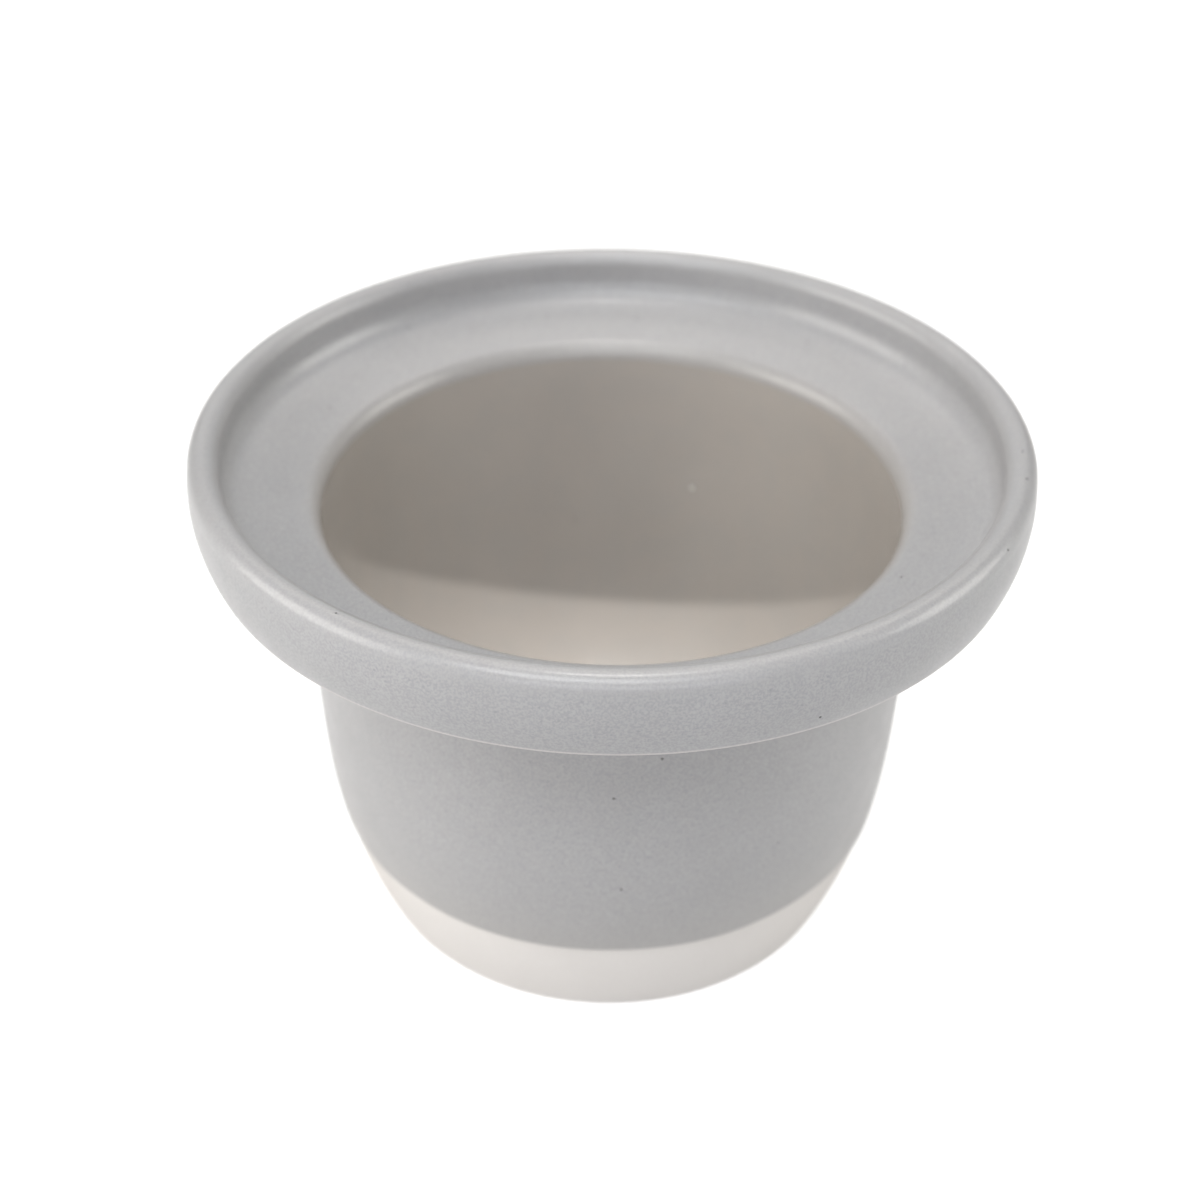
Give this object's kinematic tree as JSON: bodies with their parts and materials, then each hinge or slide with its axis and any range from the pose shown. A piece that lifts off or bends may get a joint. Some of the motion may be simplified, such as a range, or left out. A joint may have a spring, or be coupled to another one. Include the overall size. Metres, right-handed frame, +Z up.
{
  "type": "yarn bowl",
  "caption": "Tall round stoneware yarn bowl with a wide dished flange, an upstanding lip, glazed inside and out above a bare clay foot.",
  "frame": {"origin": "centre of the foot's resting plane", "axes": "+Z up along the bowl's axis of revolution; the bowl looks the same from every side, so +X and +Y are free"},
  "size_m": [0.1504, 0.1504, 0.0987],
  "materials": {
    "bare_clay": "matte",
    "wall_glaze": "satin",
    "rim_glaze": "satin",
    "well_glaze": "gloss"
  },
  "bodies": {
    "root": {"clay_body": "bare_clay", "wall_glaze": "wall_glaze", "rim_glaze": "rim_glaze", "well_glaze": "well_glaze"}
  },
  "joints": []
}
